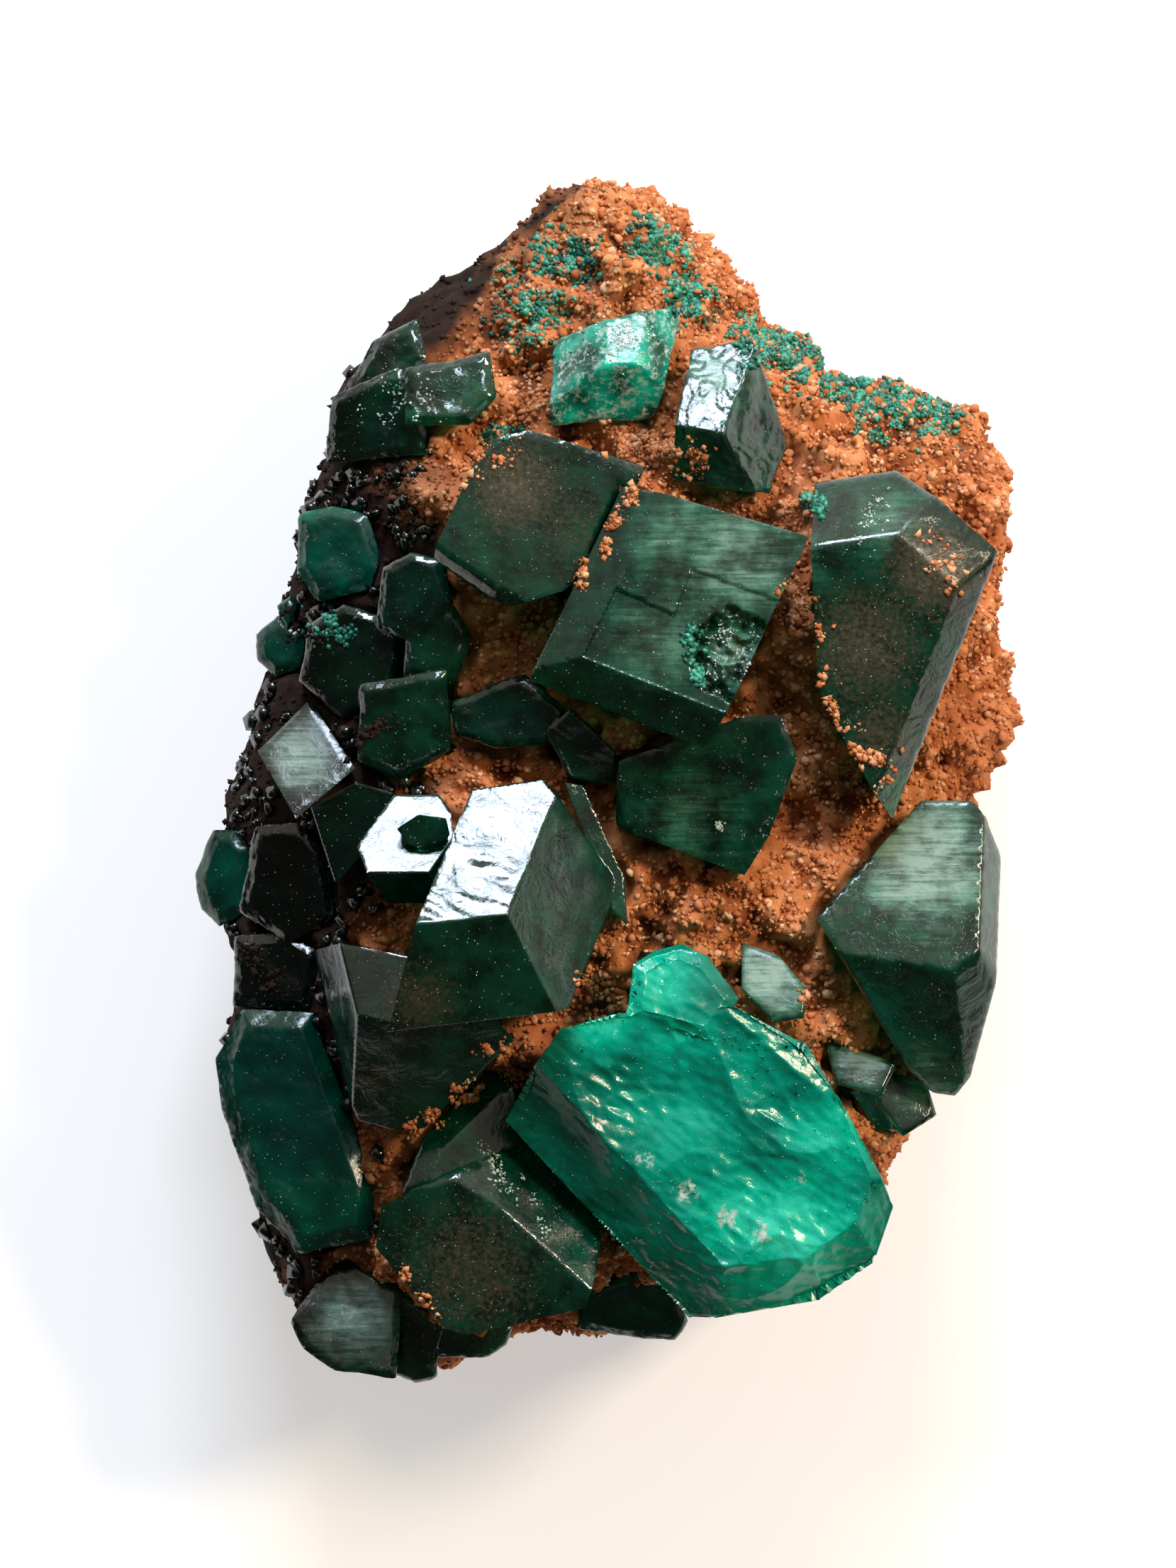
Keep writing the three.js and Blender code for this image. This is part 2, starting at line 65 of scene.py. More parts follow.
camera_data = bpy.data.cameras.new("camera")
camera_data.lens = LENS
camera_data.sensor_width = SENSOR
camera = bpy.data.objects.new("camera", camera_data)
camera.location = (*VIEW_MIDDLE, FACE_HEIGHT + PICTURE_HEIGHT * LENS / SENSOR)
bpy.context.collection.objects.link(camera)
camera_data.clip_start = 0.01
bpy.context.scene.camera = camera
print("camera at", [round(v, 4) for v in camera.location])

# %% [markdown]
# Light decides whether glass looks like glass. A flat crystal face is a mirror, so it shows either
# a window or the dark room. One cool window beyond the top edge fills the faces that lean that
# way; a warm lamp from the upper right models the rock; the room itself is dim and darker to the left.
# Each lamp is given the radiance its panel should have, and the power follows from its area.

# %% Colours and lights
def linear(text):
    """An sRGB hex colour as linear values with full opacity."""
    parts = [int(text[i:i + 2], 16) / 255 for i in (1, 3, 5)]
    curve = [c / 12.92 if c <= 0.04045 else ((c + 0.055) / 1.055) ** 2.4 for c in parts]
    return (*curve, 1.0)


def panel(name, bearing, height, distance, size, radiance, colour):
    """A square lamp that faces the specimen, at a bearing and height in degrees."""
    around, up = math.radians(bearing), math.radians(height)
    toward = Vector((math.cos(around) * math.cos(up), math.sin(around) * math.cos(up), math.sin(up)))
    lamp = bpy.data.lights.new(name, "AREA")
    lamp.shape = "RECTANGLE"
    lamp.size, lamp.size_y = size
    lamp.energy = math.pi * lamp.size * lamp.size_y * radiance
    lamp.color = linear(colour)[:3]
    holder = bpy.data.objects.new(name, lamp)
    holder.location = toward * distance + Vector((0, 0, FACE_HEIGHT))
    holder.rotation_euler = toward.to_track_quat("Z", "Y").to_euler()
    bpy.context.collection.objects.link(holder)
    return lamp


window = panel("window", 92, 35, 0.30, (0.115, 0.09), 31, "#dbe9ff")
warm_lamp = panel("warm_lamp", 28, 45, 0.40, (0.07, 0.07), 85, "#ffe6c8")
print("window", round(window.energy, 3), "W, warm lamp", round(warm_lamp.energy, 3), "W")

# %% [markdown]
# A material is a small graph of nodes. One helper adds a node, sets its properties and fills its
# sockets, with a number or with a link from another node, so that every material below reads as
# a list.

# %% Node helper
def add(tree, kind, sockets=None, **settings):
    made = tree.nodes.new(kind)
    for key, value in settings.items():
        setattr(made, key, value)
    for socket, value in (sockets or {}).items():
        if isinstance(value, bpy.types.NodeSocket):
            tree.links.new(value, made.inputs[socket])
        else:
            made.inputs[socket].default_value = value
    return made


def new_material(name):
    material = bpy.data.materials.new(name)
    material.use_nodes = True
    material.node_tree.nodes.clear()
    return material, material.node_tree


# %% [markdown]
# The room is brighter on the side of the window and nearly dark on the left. The floor is matt
# white card.

# %% Room and floor
ROOM_BRIGHT_SIDE = (0.22, 0.92, 0.10)
ROOM_LOW = 0.05
ROOM_HIGH = 1.0
FLOOR_HALF = 0.16

world = bpy.data.worlds.new("room")
bpy.context.scene.world = world
world.use_nodes = True
room = world.node_tree
room.nodes.clear()
direction = add(room, "ShaderNodeTexCoord")
toward_light = add(room, "ShaderNodeVectorMath", {0: direction.outputs["Generated"],
                                                  1: ROOM_BRIGHT_SIDE}, operation="DOT_PRODUCT")
glow = add(room, "ShaderNodeMapRange", {"Value": toward_light.outputs["Value"], "From Min": 0.0,
                                        "From Max": 0.9, "To Min": ROOM_LOW, "To Max": ROOM_HIGH})
backdrop = add(room, "ShaderNodeBackground", {"Color": linear("#fff4e6"),
                                              "Strength": glow.outputs["Result"]})
add(room, "ShaderNodeOutputWorld", {"Surface": backdrop.outputs["Background"]})

card, tree = new_material("white_card")
surface = add(tree, "ShaderNodeBsdfPrincipled", {"Base Color": linear("#d2d2d0"), "Roughness": 0.9,
                                                 "Specular IOR Level": 0.1,
                                                 "Emission Color": linear("#ffffff"),
                                                 "Emission Strength": 0.5})
add(tree, "ShaderNodeOutputMaterial", {"Surface": surface.outputs["BSDF"]})

floor_mesh = bpy.data.meshes.new("floor")
floor_mesh.from_pydata([(x * FLOOR_HALF, y * FLOOR_HALF, 0) for x, y in
                        ((-1, -1), (1, -1), (1, 1), (-1, 1))], [], [(0, 1, 2, 3)])
floor_mesh.materials.append(card)
floor = bpy.data.objects.new("floor", floor_mesh)
floor.location.z = -0.02 * MM
bpy.context.collection.objects.link(floor)
bpy.context.scene.view_settings.view_transform = "Standard"

# %% [markdown]
# Dioptase is a glassy copper silicate: index about 1.66, and a green so strong that a few
# millimetres swallow the red. The body is plain transmission with absorption inside it; a thin
# film of rust dust and fine scratches lies on the faces. Each crystal carries a "dust" value
# at its points, and the graph turns it into a matt, brownish film. A milky haze on some faces
# also stands for painted pale reflection streaks.

# %% Dioptase
DUST_SPECK = 0.14
STREAK_LENGTH = 1.6
STREAK_WIDTH = 0.12
STEP_SIZE = 0.9
SCRATCH_SIZE = 0.14
STREAK_TURN = math.radians(-22)

dioptase, tree = new_material("dioptase")
place = add(tree, "ShaderNodeTexCoord")
dust = add(tree, "ShaderNodeAttribute", attribute_name="dust")
haze_and_sheen = add(tree, "ShaderNodeAttribute", attribute_name="haze_and_sheen")
shade = add(tree, "ShaderNodeAttribute", attribute_name="shade")
specks = add(tree, "ShaderNodeTexNoise", {"Vector": place.outputs["Object"],
                                          "Scale": 1 / (DUST_SPECK * MM), "Detail": 4.0,
                                          "Roughness": 0.65})
along = add(tree, "ShaderNodeMapping", {"Vector": place.outputs["Object"],
                                        "Rotation": (0, 0, STREAK_TURN),
                                        "Scale": (1 / STREAK_LENGTH / MM, 1 / STREAK_WIDTH / MM,
                                                  1 / STREAK_LENGTH / MM)})
streaks = add(tree, "ShaderNodeTexNoise", {"Vector": along.outputs["Vector"], "Scale": 1.0,
                                           "Detail": 5.0, "Roughness": 0.6, "Distortion": 0.6})
clouds = add(tree, "ShaderNodeTexNoise", {"Vector": place.outputs["Object"],
                                          "Scale": 1 / (STEP_SIZE * MM), "Detail": 5.0,
                                          "Roughness": 0.6})
dusty = add(tree, "ShaderNodeMath", {0: specks.outputs["Fac"], 1: dust.outputs["Fac"]},
            operation="ADD")
dust_film = add(tree, "ShaderNodeMapRange", {"Value": dusty.outputs["Value"], "From Min": 0.74,
                                             "From Max": 1.25, "To Max": 0.8})
brown = add(tree, "ShaderNodeMapRange", {"Value": dusty.outputs["Value"], "From Min": 0.68,
                                         "From Max": 0.88})
streaky = add(tree, "ShaderNodeMath", {0: streaks.outputs["Fac"], 1: clouds.outputs["Fac"]},
              operation="MULTIPLY")
# milky haze, whose patches also paint pale reflection streaks
hazy_sheen = add(tree, "ShaderNodeMath", {0: streaky.outputs["Value"], 1: haze_and_sheen.outputs["Fac"]},
           operation="MULTIPLY")
haze_and_sheen_film = add(tree, "ShaderNodeMapRange", {"Value": hazy_sheen.outputs["Value"], "From Min": 0.08,
                                             "From Max": 0.48})
fleck = add(tree, "ShaderNodeMapRange", {"Value": specks.outputs["Fac"], "From Min": 0.73,
                                         "From Max": 0.82, "To Max": 0.5})
uneven = add(tree, "ShaderNodeMapRange", {"Value": clouds.outputs["Fac"], "From Min": 0.38,
                                          "From Max": 0.62})
varied = add(tree, "ShaderNodeMix", {"Factor": uneven.outputs["Result"], 6: linear("#075139"),
                                     7: linear("#1fa079")}, data_type="RGBA")
# painted shade: the left crystals mixed toward near-black green
shaded = add(tree, "ShaderNodeMix", {"Factor": shade.outputs["Fac"], 6: linear("#04281c"),
                                     7: varied.outputs[2]}, data_type="RGBA")
# painted pale reflection streaks and milky film mixed into the green
green = add(tree, "ShaderNodeMix", {"Factor": haze_and_sheen_film.outputs["Result"], 6: shaded.outputs[2],
                                    7: linear("#93b3a0")}, data_type="RGBA")
flecked = add(tree, "ShaderNodeMix", {"Factor": fleck.outputs["Result"], 6: green.outputs[2],
                                      7: linear("#b9c7bd")}, data_type="RGBA")
body = add(tree, "ShaderNodeMix", {"Factor": brown.outputs["Result"], 6: flecked.outputs[2],
                                   7: linear("#62604a")}, data_type="RGBA")
veil_and_sheen = add(tree, "ShaderNodeMath", {0: haze_and_sheen_film.outputs["Result"], 1: dust_film.outputs["Result"]},
           operation="MAXIMUM")
cover = add(tree, "ShaderNodeMath", {0: veil_and_sheen.outputs["Value"], 1: fleck.outputs["Result"]},
            operation="MAXIMUM")
clear = add(tree, "ShaderNodeMapRange", {"Value": cover.outputs["Value"], "To Min": 0.9,
                                         "To Max": 0.3})
matt = add(tree, "ShaderNodeMapRange", {"Value": cover.outputs["Value"], "To Min": 0.05,
                                        "To Max": 0.5})
steps = add(tree, "ShaderNodeTexNoise", {"Vector": place.outputs["Object"],
                                         "Scale": 1 / (STEP_SIZE * MM), "Detail": 6.0,
                                         "Roughness": 0.62, "Distortion": 1.2})
terraces = add(tree, "ShaderNodeMath", {0: steps.outputs["Fac"], 1: 0.09}, operation="SNAP")
scratches = add(tree, "ShaderNodeTexNoise", {"Vector": place.outputs["Object"],
                                             "Scale": 1 / (SCRATCH_SIZE * MM), "Detail": 4.0,
                                             "Roughness": 0.6})
waves = add(tree, "ShaderNodeBump", {"Height": steps.outputs["Fac"], "Strength": 0.3,
                                     "Distance": 0.10 * MM})
ledges = add(tree, "ShaderNodeBump", {"Height": terraces.outputs["Value"], "Strength": 0.25,
                                      "Distance": 0.05 * MM, "Normal": waves.outputs["Normal"]})
relief = add(tree, "ShaderNodeBump", {"Height": scratches.outputs["Fac"], "Strength": 0.07,
                                      "Distance": 0.03 * MM, "Normal": ledges.outputs["Normal"]})
glass = add(tree, "ShaderNodeBsdfPrincipled", {"Base Color": body.outputs[2],
                                               "Roughness": matt.outputs["Result"], "IOR": 1.66,
                                               "Specular IOR Level": 0.16,
                                               "Transmission Weight": clear.outputs["Result"],
                                               "Normal": relief.outputs["Normal"]})
inside = add(tree, "ShaderNodeVolumeAbsorption", {"Color": linear("#10dcb4"), "Density": 420.0})
add(tree, "ShaderNodeOutputMaterial", {"Surface": glass.outputs["BSDF"],
                                       "Volume": inside.outputs["Volume"]})

# %% [markdown]
# The broken crystal shows emerald instead of near-black, because countless inner cracks send
# light back out. That is a cloudy glass: part transmission, part bright green body, with painted
# pale glints where the sparks value is high.

# %% Fractured dioptase
CRACK_SIZE = 1.3
FLAW_SIZE = 0.3
SPARK_SIZE = 0.22

fractured, tree = new_material("fractured_dioptase")
place = add(tree, "ShaderNodeTexCoord")
bright = add(tree, "ShaderNodeAttribute", attribute_name="glow")
sparks = add(tree, "ShaderNodeAttribute", attribute_name="sparks")
cracks = add(tree, "ShaderNodeTexNoise", {"Vector": place.outputs["Object"],
                                          "Scale": 1 / (CRACK_SIZE * MM), "Detail": 8.0,
                                          "Roughness": 0.68, "Distortion": 1.0})
spread = add(tree, "ShaderNodeMapRange", {"Value": cracks.outputs["Fac"], "From Min": 0.3,
                                          "From Max": 0.7, "To Min": 0.7, "To Max": 1.2})
lit = add(tree, "ShaderNodeMath", {0: spread.outputs["Result"], 1: bright.outputs["Fac"]},
          operation="MULTIPLY")
tones = add(tree, "ShaderNodeValToRGB", {"Fac": lit.outputs["Value"]})
for position, colour in ((0.0, "#022c23"), (0.25, "#015c47"), (0.5, "#00a488"), (0.75, "#00cda8"),
                         (0.95, "#38e8c6")):
    stop = tones.color_ramp.elements.new(position)
    stop.color = linear(colour)
tones.color_ramp.elements.remove(tones.color_ramp.elements[0])
tones.color_ramp.elements.remove(tones.color_ramp.elements[-1])
fine = add(tree, "ShaderNodeTexNoise", {"Vector": place.outputs["Object"],
                                        "Scale": 1 / (SPARK_SIZE * MM), "Detail": 4.0,
                                        "Roughness": 0.7})
sparkling = add(tree, "ShaderNodeMath", {0: fine.outputs["Fac"], 1: sparks.outputs["Fac"]},
                operation="MULTIPLY")
flash = add(tree, "ShaderNodeMapRange", {"Value": sparkling.outputs["Value"], "From Min": 0.5,
                                         "From Max": 0.68})
# painted glints: pale where the sparks value and the fine noise are high
shown = add(tree, "ShaderNodeMix", {"Factor": flash.outputs["Result"], 6: tones.outputs["Color"],
                                    7: linear("#dff4e6")}, data_type="RGBA")
flaws = add(tree, "ShaderNodeTexNoise", {"Vector": place.outputs["Object"],
                                         "Scale": 1 / (FLAW_SIZE * MM), "Detail": 6.0,
                                         "Roughness": 0.65})
relief = add(tree, "ShaderNodeBump", {"Height": flaws.outputs["Fac"], "Strength": 0.35,
                                      "Distance": 0.06 * MM})
glass = add(tree, "ShaderNodeBsdfPrincipled", {"Base Color": shown.outputs[2],
                                               "Roughness": 0.08, "IOR": 1.66,
                                               "Specular IOR Level": 0.25,
                                               "Transmission Weight": 0.4,
                                               "Normal": relief.outputs["Normal"]})
inside = add(tree, "ShaderNodeVolumeAbsorption", {"Color": linear("#20f0c4"), "Density": 260.0})
add(tree, "ShaderNodeOutputMaterial", {"Surface": glass.outputs["BSDF"],
                                       "Volume": inside.outputs["Volume"]})

# %% [markdown]
# The rock is iron oxide and clay: matt, rust brown, from dark umber in its pores to pale ochre on
# its crumbs, and painted nearly black on the left flank, which lies in shadow. The grains carry a
# tint value of their own, so that no two neighbours are alike.

# %% Rusty rock
PORE_SIZE = 0.5
PATCH_SIZE = 3.0

rock_finish, tree = new_material("rusty_rock")
place = add(tree, "ShaderNodeTexCoord")
painted_shadow = add(tree, "ShaderNodeAttribute", attribute_name="painted_shadow")
tint = add(tree, "ShaderNodeAttribute", attribute_name="tint")
pores = add(tree, "ShaderNodeTexNoise", {"Vector": place.outputs["Object"],
                                         "Scale": 1 / (PORE_SIZE * MM), "Detail": 6.0,
                                         "Roughness": 0.65})
patches = add(tree, "ShaderNodeTexNoise", {"Vector": place.outputs["Object"],
                                           "Scale": 1 / (PATCH_SIZE * MM), "Detail": 2.0})
mixed = add(tree, "ShaderNodeMath", {0: pores.outputs["Fac"], 1: tint.outputs["Fac"]},
            operation="ADD")
shade = add(tree, "ShaderNodeMapRange", {"Value": mixed.outputs["Value"], "From Min": 0.35,
                                         "From Max": 1.3})
tones = add(tree, "ShaderNodeValToRGB", {"Fac": shade.outputs["Result"]})
for position, colour in ((0.05, "#54250f"), (0.35, "#a85f33"), (0.65, "#c98353"), (0.95, "#e8b98e")):
    stop = tones.color_ramp.elements.new(position)
    stop.color = linear(colour)
tones.color_ramp.elements.remove(tones.color_ramp.elements[0])
tones.color_ramp.elements.remove(tones.color_ramp.elements[-1])
few = add(tree, "ShaderNodeMapRange", {"Value": patches.outputs["Fac"], "From Min": 0.45,
                                       "From Max": 0.7, "To Max": 0.6})
pinkish = add(tree, "ShaderNodeMix", {"Factor": few.outputs["Result"], 6: tones.outputs["Color"],
                                      7: linear("#b9714a")}, data_type="RGBA", blend_type="MIX")
# painted shadow: the left flank mixed toward near black
shadowed = add(tree, "ShaderNodeMix", {"Factor": painted_shadow.outputs["Fac"], 6: pinkish.outputs[2],
                                      7: linear("#150f0c")}, data_type="RGBA")
relief = add(tree, "ShaderNodeBump", {"Height": pores.outputs["Fac"], "Strength": 0.8,
                                      "Distance": 0.12 * MM})
dull = add(tree, "ShaderNodeBsdfPrincipled", {"Base Color": shadowed.outputs[2], "Roughness": 0.92,
                                              "Specular IOR Level": 0.2,
                                              "Normal": relief.outputs["Normal"]})
add(tree, "ShaderNodeOutputMaterial", {"Surface": dull.outputs["BSDF"]})

# %% [markdown]
# Copper also settled as a crust of teal chrysocolla on the shoulder of the rock: bumpy,
# waxy, blue-green with pale high spots.

# %% Teal crust
crust_finish, tree = new_material("teal_crust")
place = add(tree, "ShaderNodeTexCoord")
tint = add(tree, "ShaderNodeAttribute", attribute_name="tint")
blotches = add(tree, "ShaderNodeTexNoise", {"Vector": place.outputs["Object"],
                                            "Scale": 1 / (0.6 * MM), "Detail": 4.0})
mixed = add(tree, "ShaderNodeMath", {0: blotches.outputs["Fac"], 1: tint.outputs["Fac"]},
            operation="ADD")
shade = add(tree, "ShaderNodeMapRange", {"Value": mixed.outputs["Value"], "From Min": 0.4,
                                         "From Max": 1.3})
tones = add(tree, "ShaderNodeValToRGB", {"Fac": shade.outputs["Result"]})
for position, colour in ((0.05, "#0a3d31"), (0.5, "#196a55"), (0.9, "#3f9d82")):
    stop = tones.color_ramp.elements.new(position)
    stop.color = linear(colour)
tones.color_ramp.elements.remove(tones.color_ramp.elements[0])
tones.color_ramp.elements.remove(tones.color_ramp.elements[-1])
waxy = add(tree, "ShaderNodeBsdfPrincipled", {"Base Color": tones.outputs["Color"],
                                              "Roughness": 0.35, "IOR": 1.5})
add(tree, "ShaderNodeOutputMaterial", {"Surface": waxy.outputs["BSDF"]})

# %% [markdown]
# Crushed dioptase is pale: flecks of dust and the lips of chips scatter light like ground glass.

# %% Pale dust
chip_finish, tree = new_material("ground_dioptase")
tint = add(tree, "ShaderNodeAttribute", attribute_name="tint")
tones = add(tree, "ShaderNodeMix", {"Factor": tint.outputs["Fac"], 6: linear("#4c7f6a"),
                                    7: linear("#d5dccf")}, data_type="RGBA")
ground = add(tree, "ShaderNodeBsdfPrincipled", {"Base Color": tones.outputs[2], "Roughness": 0.4,
                                                "IOR": 1.6})
add(tree, "ShaderNodeOutputMaterial", {"Surface": ground.outputs["BSDF"]})

# %% [markdown]
# A crystal starts as a copy of its solid. Its flat faces are cut into small triangles, so that
# the edges can be worn: every point on a sharp edge slides a little toward its neighbours, by
# an uneven amount, which leaves the tiny chips that catch the light. A bevel would be quicker but
# makes edges that are far too even. Sides are cut coarser, because little of them shows.

# %% Cutting and wearing
EDGE_LENGTH = 0.26
LOOKS_UP = 0.3
SIDE_FACTOR = 3
MOST_CUTS = 9
SHARP = math.radians(16)
WEAR = 0.35
WEAR_SIZE = 0.5
MOST_WEAR = 0.05


def refined(bm, length):
    """Cuts long edges in half until none is longer than length, or three times that on the sides."""
    for _ in range(MOST_CUTS):
        bm.normal_update()
        long_edges = [e for e in bm.edges if e.calc_length() > length
                      * (1 if any(f.normal.z > LOOKS_UP for f in e.link_faces) else SIDE_FACTOR)]
        if not long_edges:
            return
        bmesh.ops.subdivide_edges(bm, edges=long_edges, cuts=1)
        bmesh.ops.triangulate(bm, faces=bm.faces[:])


def worn(bm):
    """Slides the points of sharp edges inward by an uneven amount."""
    moves = {}
    for vertex in bm.verts:
        if any(e.is_manifold and e.calc_face_angle() > SHARP for e in vertex.link_edges):
            around = [e.other_vert(vertex).co for e in vertex.link_edges]
            middle = sum(around, Vector()) / len(around)
            uneven = 0.5 + 0.5 * noise.noise(vertex.co / (WEAR_SIZE * MM))
            move = (middle - vertex.co) * WEAR * (0.3 + uneven)
            moves[vertex] = move.normalized() * min(move.length, MOST_WEAR * MM)
    for vertex, move in moves.items():
        vertex.co += move


# %% [markdown]
# Rust dust lies on some faces, and a milky haze on others that also paints pale reflection
# streaks. Each is a short list of soft round patches, judged one by one, and the material breaks
# them up. The crystals at the left end of the specimen lie in shadow, so each point also gets a
# painted shade from how far left it lies.

# %% Dust, haze and painted sheen, and painted shade
DUST = [
    # x, y, radius in mm and strength of each dusty patch, seen from the crystal side
    (-2.6, 8.6, 1.7, 0.52), (-1.0, 7.4, 1.9, 0.30), (9.6, 6.2, 1.7, 0.55), (7.6, 4.0, 2.2, 0.46),
    (8.2, 1.5, 1.5, 0.4), (-3.9, -14.3, 2.8, 0.38), (-5.3, -6.3, 1.4, 0.42), (2.6, 5.0, 2.2, 0.16),
    (-6.6, -8.6, 1.2, 0.3), (2.9, -0.6, 1.5, 0.12),
]
HAZE_AND_SHEEN = [
    # pale milky patches that also paint pale reflection streaks, given in the same way
    (3.9, 6.6, 2.2, 1.1), (2.2, 7.2, 1.6, 0.9), (1.6, 4.2, 1.6, 0.8), (3.8, 3.7, 1.0, 1.2),
    (9.4, -2.2, 1.9, 2.0), (3.3, 12.0, 1.4, 0.8), (2.6, -1.0, 1.8, 0.6), (-7.4, -15.9, 1.4, 1.4),
    (4.8, -5.6, 1.2, 1.9), (9.6, -9.0, 1.2, 1.0), (7.6, -8.2, 1.0, 1.3), (-8.9, 0.8, 1.3, 1.5),
    (8.4, 7.6, 1.2, 0.8),
]
FAINT_HAZE_AND_SHEEN = 0.05
# painted shade: full at the left end, fading out over this many mm
DARK_SIDE = -9.0
DARK_FADE = 4.5


def blobs_at(points, blobs):
    """The strongest of a list of soft round patches at each point, seen from the crystal side."""
    value = np.zeros(len(points))
    for x, y, radius, strength in blobs:
        near = ((points[:, 0] / MM - x) ** 2 + (points[:, 1] / MM - y) ** 2) / radius ** 2
        value = np.maximum(value, strength * np.exp(-near))
    return value


def give(mesh, name, values):
    """Writes one number for each point of a mesh, for its material to read."""
    layer = mesh.attributes.new(name, "FLOAT", "POINT")
    layer.data.foreach_set("value", np.asarray(values, np.float32))


def points_of(mesh):
    flat = np.empty(len(mesh.vertices) * 3, np.float32)
    mesh.vertices.foreach_get("co", flat)
    return flat.reshape(-1, 3)


# %% [markdown]
# A few faces need more than worn edges. The centre crystal has a growth step and a pit where a
# piece broke out. The faces that mirror the window are rippled, which draws dark bars across
# the reflection. The smaller crystals have low ledges.

# %% Steps, ripples and ledges
STEP_X, STEP_Y = (0.2, 2.05, 2.57, 5.1), (5.7, 4.87, 6.2, 5.28)
STEP_HEIGHT = 0.09
PIT_AT = (3.75, 3.75)
PIT_REACH = (1.15, 1.25)
PIT_DEPTH = 0.12
PIT_ROUGH = ((0.55, 0.5), (0.22, 0.25))
MIRROR_LOOK = Vector((-0.02, 0.475, 0.88))
NOTCHED_RIGHT, NOTCHED_BOTTOM = -4.3, -2.7
RIPPLE_TOP, RIPPLE_FADE = -0.9, 1.6
LEDGE_SIZE = 0.8
LEDGE_HEIGHT = 0.07
LEDGES = 3.5


def stepped(bm):
    """The growth step and the broken pit in the face of the centre crystal."""
    for vertex in bm.verts:
        if vertex.normal.z < 0.9:
            continue
        at = vertex.co / MM
        low = at.y < np.interp(at.x, STEP_X, STEP_Y)
        reach = math.hypot((at.x - PIT_AT[0]) / PIT_REACH[0], (at.y - PIT_AT[1]) / PIT_REACH[1])
        ragged = reach + 0.35 * noise.noise(at / 0.5)
        bite = 0
        if ragged < 1:
            bite = PIT_DEPTH + sum(depth * abs(noise.noise(at / size)) for size, depth in PIT_ROUGH)
        vertex.co.z -= (STEP_HEIGHT * low + bite) * MM


def rippled(bm):
    """Fine ripples on the rhombus that mirrors the window, strongest low down on it."""
    for vertex in bm.verts:
        if vertex.normal.dot(MIRROR_LOOK) < 0.97:
            continue
        at = vertex.co / MM
        if at.x < NOTCHED_RIGHT and at.y > NOTCHED_BOTTOM:
            continue  # the notched crystal beside it stays flat
        turned = Vector(((at.x * 0.92 - at.y * 0.4) * 0.5, at.y * 0.92 + at.x * 0.4, 0))
        low = min(1, max(0, (RIPPLE_TOP - at.y) / RIPPLE_FADE))
        push = (0.010 + 0.020 * low) * noise.noise(turned / 0.30) + 0.030 * noise.noise(turned / 0.9)
        vertex.co += vertex.normal * push * MM


def ledged(bm):
    """The rough faces of the smaller crystals: low ledges and a fine unevenness."""
    for vertex in bm.verts:
        at = vertex.co / MM
        ledge = round(LEDGES * noise.noise(at / LEDGE_SIZE)) / LEDGES
        push = LEDGE_HEIGHT * ledge + 0.02 * noise.noise(at / 0.3)
        vertex.co += vertex.normal * push * MM


SHAPES = {"centre_crystal": (stepped, 0.10), "mirror_cluster": (rippled, 0.10),
          "upper_crystal": (ledged, 0.12)}
SHAPES |= {node: (ledged, 0.18) for node in (
    "left_lower_cluster", "left_dark_cluster", "left_edge_crystal", "left_round_crystal",
    "left_green_crystal", "upper_left_cluster", "middle_cluster", "lower_left_mass", "foot_cluster",
    "bottom_green_crystal", "upper_pale_crystal")}

# %% [markdown]
# Now every crystal but the broken one is dressed. Most are clear dark glass. A few small ones show
# emerald, as the broken one does, so they share its cloudy glass and get a faint glow.

# %% Crystals
SAME_POINT = 0.002
SAME_PLANE = math.radians(0.5)
SMOOTH_UNDER = math.radians(24)
CLOUDY = {
    # smaller crystals that show as emerald rather than black, and how bright they are
    "left_green_crystal": 0.22, "left_round_crystal": 0.16, "left_edge_crystal": 0.16,
    "bottom_green_crystal": 0.16, "upper_pale_crystal": 0.5, "lower_left_mass": 0.10,
}
# painted pale glints on the cloudy crystals, strongest on the pale one
CLOUDY_SPARKS = {"upper_pale_crystal": 1.0}
FEW_SPARKS = 0.72
CLOUD_SIZE = 0.7


def dressed(node, material, shape=None, length=EDGE_LENGTH):
    """A finer copy of a solid, shaped further if a function is given, that stands for the solid."""
    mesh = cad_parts[node].data.copy()
    mesh.materials.clear()
    mesh.materials.append(material)
    bm = bmesh.new()
    bm.from_mesh(mesh)
    bmesh.ops.remove_doubles(bm, verts=bm.verts, dist=SAME_POINT * MM)
    bmesh.ops.dissolve_limit(bm, angle_limit=SAME_PLANE, verts=bm.verts, edges=bm.edges)
    bmesh.ops.triangulate(bm, faces=bm.faces[:])
    refined(bm, length * MM)
    worn(bm)
    if shape:
        bm.normal_update()
        shape(bm)
    bm.to_mesh(mesh)
    bm.free()
    mesh.shade_smooth()
    mesh.set_sharp_from_angle(angle=SMOOTH_UNDER)
    points = points_of(mesh)
    give(mesh, "dust", blobs_at(points, DUST))
    # a faint milky film, and painted pale reflection streaks where the patches lie
    give(mesh, "haze_and_sheen", FAINT_HAZE_AND_SHEEN + blobs_at(points, HAZE_AND_SHEEN))
    # painted shade toward the left end, which lies in shadow
    give(mesh, "shade", np.clip((points[:, 0] / MM - DARK_SIDE) / DARK_FADE, 0, 1))
    piece = bpy.data.objects.new(node.replace("_", ".") + ".finish", mesh)
    bpy.context.collection.objects.link(piece)
    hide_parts(node)
    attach(piece, "root")
    return piece


